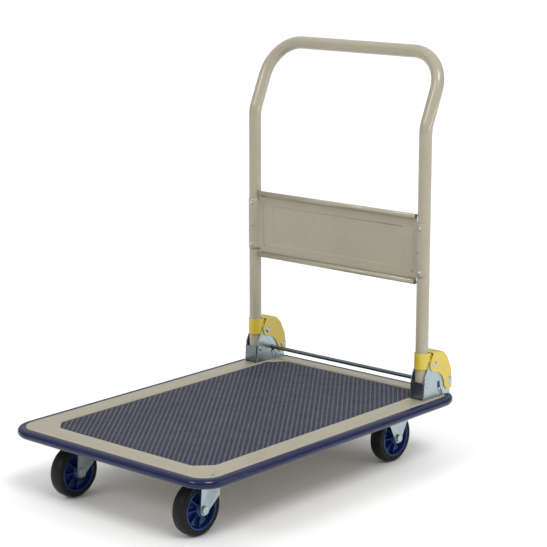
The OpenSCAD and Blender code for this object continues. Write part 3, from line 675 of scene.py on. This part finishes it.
def panel_relief(y, z, flat_half, panel_half):
    """How far the pressed shapes of the panel's flat stand back."""
    qy = abs(y) - (flat_half - PRESS_INSET) + PRESS_CORNER
    qz = abs(z) - (panel_half - PRESS_INSET) + PRESS_CORNER
    edge = math.hypot(max(qy, 0), max(qz, 0)) + min(max(qy, qz), 0) - PRESS_CORNER
    press = PRESS_DEPTH * (1 - smooth_step(-PRESS_SLOPE, 0, edge))
    bead = max(0, 1 - ((abs(y) - (flat_half - BEAD_INSET)) / BEAD_HALF) ** 2)
    return press - BEAD_RISE * bead * (1 - smooth_step(*BEAD_FADE, abs(z)))


def panel_columns(tube_y, flat_half):
    """Plan of the sheet's middle from one wrap's edge to the other.

    Each column is x, y, normal x, normal y and its angle on the wrap, or None off the wrap.
    """
    centre_x = -(WRAP_MEAN + FILLET_R) * math.cos(math.radians(WRAP_IN))
    centre_y = tube_y - (WRAP_MEAN + FILLET_R) * math.sin(math.radians(WRAP_IN))
    end = []
    for i in range(WRAP_STEPS + 1):
        deg = WRAP_OUT - (WRAP_OUT + WRAP_IN) * i / WRAP_STEPS
        t = math.radians(deg)
        end.append((-WRAP_MEAN * math.cos(t), tube_y + WRAP_MEAN * math.sin(t),
                    -math.cos(t), math.sin(t), deg))
    for i in range(1, FILLET_STEPS + 1):
        u = math.radians(WRAP_IN * (1 - i / FILLET_STEPS))
        end.append((centre_x + FILLET_R * math.cos(u), centre_y + FILLET_R * math.sin(u),
                    -math.cos(u), -math.sin(u), None))
    other = [(x, -y, nx, -ny, deg) for x, y, nx, ny, deg in end]
    creases = [side * (flat_half - inset) for side in (-1, 1) for inset in (BEAD_INSET, PRESS_INSET + 1)]
    flat = fine_steps(-flat_half, flat_half, COLUMN_STEP, creases)
    middle = [(0, y, -1, 0, None) for y in flat[1:-1]]
    return other + middle + end[::-1]


def wrap_bump(deg, z, screw_z):
    """Raised half-round mark at mid height and the raised seats of the screws."""
    if deg is None:
        return 0
    across = math.radians(deg) * WRAP_MEAN
    mark = max(0, 1 - math.hypot(across + MARK_OFFSET, z) / MARK_R)
    seat = 1 - smooth_step(SEAT_R, SEAT_FOOT_R, math.hypot(across, abs(z) - screw_z))
    return MARK_RISE * min(mark * 2, 1) + SEAT_RISE * seat


def make_panel():
    """Pressed sheet: wraps round the tubes, beads, a pressed rectangle and hems rolled forwards."""
    lo, hi = box_mm("handle_panel")
    screw_lo, screw_hi = box_mm("panel_screws")
    tube_lo, tube_hi = box_mm("handle_tube")
    tube_x, tube_y = tube_lo.x + TUBE_R, tube_hi.y - TUBE_R
    mid_z = (lo.z + hi.z) / 2
    panel_half = (hi.z - lo.z) / 2
    screw_z = (screw_hi.z - screw_lo.z) / 2 - SCREW_HEAD_R
    flat_half = tube_y - (WRAP_MEAN + FILLET_R) * math.sin(math.radians(WRAP_IN))
    hem_z = panel_half - HEM_R - PANEL_SHEET / 2
    hem_end = tube_y - TUBE_R - HEM_TUBE_GAP
    columns = panel_columns(tube_y, flat_half)
    crease_z = panel_half - PRESS_INSET - 1
    detail_z = [-crease_z, crease_z, 0, -screw_z, screw_z]
    rows = fine_steps(-hem_z, hem_z, ROW_STEP, detail_z, ROW_REACH)
    rows = sorted([r for r in rows if abs(abs(r) - WRAP_HALF) > 0.8] + [-WRAP_HALF, WRAP_HALF])
    bm = bmesh.new()
    grid = []
    for x, y, nx, ny, deg in columns:
        line = []
        reach = 1.0
        if deg is not None:
            inset = math.radians(WRAP_OUT - deg) * WRAP_MEAN
            rounding = math.sqrt(max(0, WRAP_CORNER ** 2 - max(0, WRAP_CORNER - inset) ** 2))
            reach = (WRAP_HALF - WRAP_CORNER + rounding) / WRAP_HALF
        for z in rows:
            if abs(y) > hem_end and abs(z) > WRAP_HALF:
                line.append(None)
                continue
            dx = panel_relief(y, z, flat_half, panel_half) if abs(y) <= flat_half + 0.01 else 0
            bump = wrap_bump(deg, z * reach, screw_z)
            line.append(bm.verts.new((tube_x + x + dx + nx * bump, y + ny * bump, mid_z + z * reach)))
        grid.append(line)
    for left, right in zip(grid, grid[1:]):
        for i in range(len(rows) - 1):
            quad = (left[i], right[i], right[i + 1], left[i + 1])
            if None not in quad:
                bm.faces.new(quad)
    for sign in (-1, 1):
        curl = arc(-HEM_R - PANEL_SHEET / 2 + HEM_TUCK, 0, HEM_R, 0, HEM_TURN, HEM_STEPS)
        ends = [hem_end, -hem_end]
        lines = [[bm.verts.new((tube_x + x, y, mid_z + sign * (hem_z + z))) for x, z in curl] for y in ends]
        for i in range(len(curl) - 1):
            bm.faces.new((lines[0][i], lines[1][i], lines[1][i + 1], lines[0][i + 1]))
    panel = finish_mesh("handle_panel_pressed", bm, CREAM, 50)
    modifier = panel.modifiers.new("Sheet", "SOLIDIFY")
    modifier.thickness = PANEL_SHEET * MM
    modifier.offset = 0
    modifier.use_even_offset = True
    return stand_for(panel, "handle_panel")


# ---------- wheels ----------

def wheel_frame(corner):
    """Matrix that puts a wheel made round Z on its axle, outer side up, with its radius and width."""
    lo, hi = box_mm(corner + "_tyre")
    centre = (lo + hi) / 2
    turn = -90 if centre.y > 0 else 90
    matrix = Matrix.Translation(centre) @ Matrix.Rotation(math.radians(turn), 4, "X")
    return matrix, (hi.z - lo.z) / 2, hi.y - lo.y


RIM_R = 39
RIB_COUNT = 8
WHEEL_STEPS = 96
# a rim's rib: half widths at its base, shoulder and crest, its base's height and its shoulder's drop
RIM_RIB_HALF, RIM_RIB_SHOULDER, RIM_RIB_CREST = 1.9, 1.15, 0.6
RIM_RIB_BASE, RIM_RIB_ROUND = 2.6, 0.5
# how far its root lies under the hub's face and its tip under the tyre's side, and its dip between
RIM_RIB_ROOT_DROP, RIM_RIB_TIP_DROP, RIM_RIB_DIP = 3.4, 5.2, 2.2


def make_tyre(corner):
    """Solid rubber tyre with a round crown, soft shoulders and a bead beside the rim."""
    matrix, radius, width = wheel_frame(corner)
    half = width / 2
    bead = [(-0.4, 1.8), (0.5, 0.7), (1.6, 0.25), (2.8, 0.9), (3.8, 0.45), (5.4, 0.35)]
    shoulder = [(3.4, 1.3), (1.9, 3.2), (0.9, 6.2), (0.25, 10.5)]
    side = [(RIM_R + r, half - h) for r, h in bead] + [(radius - r, half - h) for r, h in shoulder]
    profile = side + [(radius, 0)] + [(r, -h) for r, h in side[::-1]] + [(RIM_R - 0.4, 0)]
    bm = bmesh.new()
    lathe(bm, profile, WHEEL_STEPS, matrix)
    return stand_for(finish_mesh(corner + "_tyre_moulded", bm, RUBBER, 40), corner + "_tyre")


def make_rim(corner):
    """Dished plastic rim: raised outer ring, web, hub and tapered ribs."""
    matrix, _, width = wheel_frame(corner)
    half = width / 2
    hub_lo, hub_hi = box_mm(corner + "_bush")
    hub_half = (hub_hi.y - hub_lo.y) / 2 - 0.2
    bore, hub = 8.0, 13.2
    ring = [(0.3, 2.2), (0.6, 0.8), (1.6, 0.2), (3.6, 0.5), (4.6, 1.6), (5.4, 5.5)]
    side = [(RIM_R - r, half - h) for r, h in ring]
    side += [(RIM_R - 6.8, 4.2), (RIM_R - 9.0, 3.1), (hub + 4, 3.2), (hub + 1.2, 4.4)]
    side += [(hub + 0.3, hub_half - 2), (hub - 0.9, hub_half - 0.5), (hub - 2.2, hub_half)]
    side.append((bore + 0.2, hub_half))
    profile = side + [(r, -h) for r, h in side[::-1]]
    bm = bmesh.new()
    lathe(bm, profile, WHEEL_STEPS, matrix)
    for i in range(RIB_COUNT):
        turn = Matrix.Rotation(2 * math.pi * i / RIB_COUNT, 4, "Z")
        for face in (1, -1):
            rim_rib(bm, matrix @ turn, face, hub, half, hub_half)
    return stand_for(finish_mesh(corner + "_rim_moulded", bm, RIM_PLASTIC, 38), corner + "_rim")


def rim_rib(bm, matrix, face, hub, half, hub_half):
    """One rib, thick at its root, that slopes from the hub down to the ring."""
    inner, outer = hub - 0.6, RIM_R - 5.2
    sections = []
    for share in (0.0, 0.25, 0.6, 1.0):
        r = inner + (outer - inner) * share
        root, tip = hub_half - RIM_RIB_ROOT_DROP, half - RIM_RIB_TIP_DROP
        top = root * (1 - share) + tip * share - RIM_RIB_DIP * math.sin(math.pi * share)
        rise = [(-RIM_RIB_HALF, RIM_RIB_BASE), (-RIM_RIB_SHOULDER, top - RIM_RIB_ROUND),
                (-RIM_RIB_CREST, top)]
        fall = [(-y, z) for y, z in rise[::-1]]
        sections.append([(r, y, z * face) for y, z in rise + fall])
    loft(bm, [[matrix @ Vector(p) for p in ring] for ring in sections])


# ---------- the cart ----------

make_deck()
make_mat()
make_bumper()
make_handle_tube()
make_panel()
CORNERS = ["front_left", "front_right", "rear_left", "rear_right"]
for corner in CORNERS:
    make_tyre(corner)
    make_rim(corner)

# how far each node's edges are rounded, and in how many steps
ROUNDING = {
    "front_crossmember": (0.8, 2), "rear_crossmember": (0.8, 2), "deck_stiffeners": (0.6, 2),
    "left_bracket": (0.35, 2), "right_bracket": (0.35, 2),
    "left_front_stop": (0.4, 2), "right_front_stop": (0.4, 2),
    "left_guard": (0.6, 3), "right_guard": (0.6, 3), "left_collar": (0.5, 2), "right_collar": (0.5, 2),
    "lock_rod": (0.6, 2), "left_lock_arms": (0.3, 2), "right_lock_arms": (0.3, 2),
    "front_left_plate": (0.4, 2), "front_right_plate": (0.4, 2), "front_left_fork": (0.5, 2),
    "front_right_fork": (0.5, 2), "rear_left_fork": (0.5, 2), "rear_right_fork": (0.5, 2),
    "fold_pins": (0.15, 1), "rear_rivets": (0.15, 1), "stop_rivets": (0.15, 1),
    "bracket_screws": (0.3, 2), "panel_screws": (0.15, 1), "lock_guide_pins": (0.5, 2),
    "caster_bolts": (0.5, 2), "caster_nuts": (0.4, 2),
}
ROUNDING.update({corner + "_axle": (0.5, 2) for corner in CORNERS})
for node, (width, segments) in ROUNDING.items():
    # the front stops take the darker zinc in place of their own finish: painted shade for their dark
    # concave faces
    material = DARK_ZINC_AND_STOP_SHADE if "front_stop" in node else SLOT_MATERIAL[NODE_SLOT[node]]
    rounded_copy(node, node + "_finished", width, segments, material)

for node, obj in frame["nodes"].items():
    for slot in obj.material_slots:
        slot.material = SLOT_MATERIAL[NODE_SLOT[node]]

# ---------- studio ----------

FLOOR_HALF = 40000
FLOOR_DROP = 0.3                   # keeps the tyres clear of the floor


def make_floor():
    """Plain pale paper under the cart."""
    bm = bmesh.new()
    corners = [(-1, -1), (1, -1), (1, 1), (-1, 1)]
    bm.faces.new([bm.verts.new((x * FLOOR_HALF, y * FLOOR_HALF, -FLOOR_DROP)) for x, y in corners])
    s = Shader("floor_paper", roughness=0.9, specular=0.1)
    s.color(s.ramp(s.noise(400, 2), (0.91, 0.91, 0.91), (0.93, 0.93, 0.93)))
    floor = finish_mesh("floor", bm, s.material)


def sun_light(name, direction, spread, energy):
    """A far soft light that lies in that direction."""
    light = bpy.data.lights.new(name, "SUN")
    light.angle = math.radians(spread)
    light.energy = energy
    obj = bpy.data.objects.new(name, light)
    obj.rotation_euler = Vector(direction).to_track_quat("Z", "Y").to_euler()
    bpy.context.scene.collection.objects.link(obj)


def area_light(name, location, target, size, energy):
    """A rectangular soft light at that place, turned towards the target."""
    light = bpy.data.lights.new(name, "AREA")
    light.shape = "RECTANGLE"
    light.size, light.size_y = size
    light.energy = energy
    obj = bpy.data.objects.new(name, light)
    obj.location = location
    obj.rotation_euler = (Vector(target) - Vector(location)).to_track_quat("-Z", "Y").to_euler()
    bpy.context.scene.collection.objects.link(obj)


def make_world():
    """Overhead softbox sky, bright above and dim at the horizon."""
    world = bpy.data.worlds.new("studio")
    world.use_nodes = True
    nodes, links = world.node_tree.nodes, world.node_tree.links
    direction = nodes.new("ShaderNodeTexCoord").outputs["Generated"]
    split = nodes.new("ShaderNodeSeparateXYZ")
    links.new(direction, split.inputs["Vector"])
    ramp = nodes.new("ShaderNodeValToRGB")
    low, high = ramp.color_ramp.elements
    low.position, low.color = 0.05, (0.16, 0.165, 0.18, 1)
    high.position, high.color = 0.62, (1, 1, 1, 1)
    links.new(split.outputs["Z"], ramp.inputs["Fac"])
    background = nodes["Background"]
    background.inputs["Strength"].default_value = 0.95
    links.new(ramp.outputs["Color"], background.inputs["Color"])
    bpy.context.scene.world = world


CAMERA_LENS = 119.46
CAMERA_PLACE = (-2.4905, -2.2592, 1.1304)
CAMERA_DOWN, CAMERA_ROUND = 12.235, -48.834      # degrees below level, and round from +Y


def make_camera():
    """Long lens, looking down a little on the front left corner."""
    camera = bpy.data.cameras.new("camera")
    camera.sensor_width = 36
    camera.lens = CAMERA_LENS
    camera.clip_end = 50
    obj = bpy.data.objects.new("camera", camera)
    obj.location = CAMERA_PLACE
    obj.rotation_euler = (math.radians(90 - CAMERA_DOWN), 0, math.radians(CAMERA_ROUND))
    bpy.context.scene.collection.objects.link(obj)
    bpy.context.scene.camera = obj


make_floor()
make_world()
sun_light("key", (-0.35, -0.75, 1.1), 22, 1.25)
sun_light("side", (-1.0, 0.15, 0.75), 16, 0.55)
area_light("strip", (0.9, -2.6, 0.75), (0, 0, 0.25), (1.6, 0.12), 9)
make_camera()
bpy.context.scene.view_settings.view_transform = "Standard"
